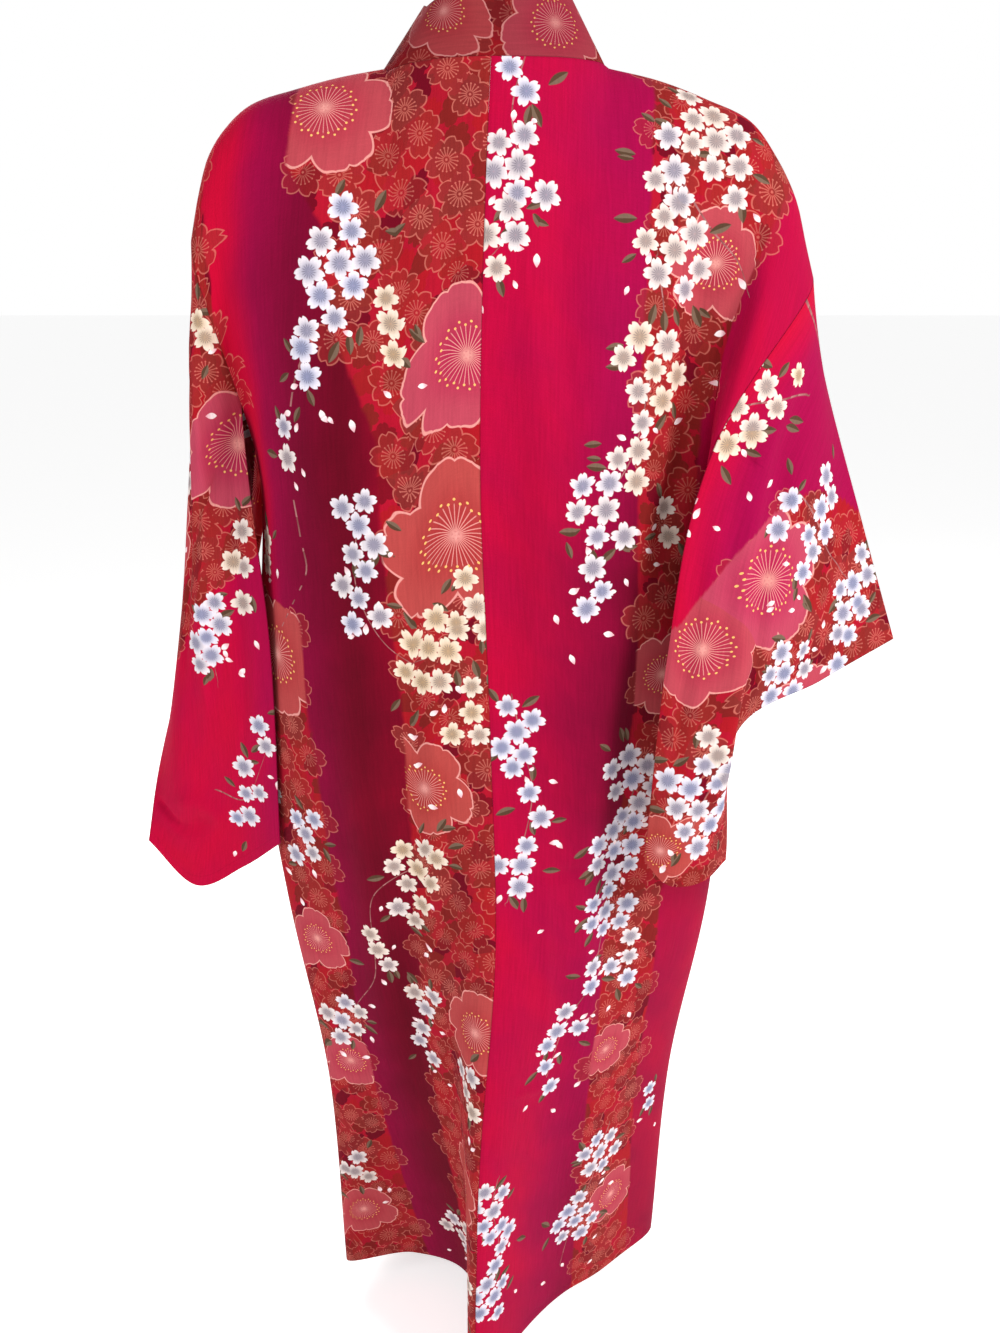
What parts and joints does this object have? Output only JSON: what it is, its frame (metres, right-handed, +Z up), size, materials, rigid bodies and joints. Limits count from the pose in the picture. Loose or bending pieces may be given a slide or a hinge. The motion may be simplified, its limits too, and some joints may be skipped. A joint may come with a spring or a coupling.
{
  "type": "japanese robe",
  "caption": "Long cotton kimono robe with wide hanging sleeves, a folded collar band and wrapped fronts, filled out as worn, printed with cherry blossom.",
  "frame": {"origin": "between the shoulders at the height where the neck meets the shoulder line, where the wearer's shoulders hold the robe", "axes": "+Z up, +Y to the wearer's front, -Y to the back that the picture shows, +X to the wearer's right"},
  "size_m": [0.812, 0.3079, 1.4904],
  "materials": {
    "cloth": "matt crinkled cotton, crimson with a printed blossom pattern",
    "collar_cloth": "matt crinkled cotton, printed all over with reddish brown blossom"
  },
  "bodies": {
    "root": {"body_left": "cloth", "body_right": "cloth", "okumi_left": "cloth", "okumi_right": "cloth", "collar": "collar_cloth", "sleeve_left": "cloth", "sleeve_right": "cloth"}
  },
  "joints": []
}
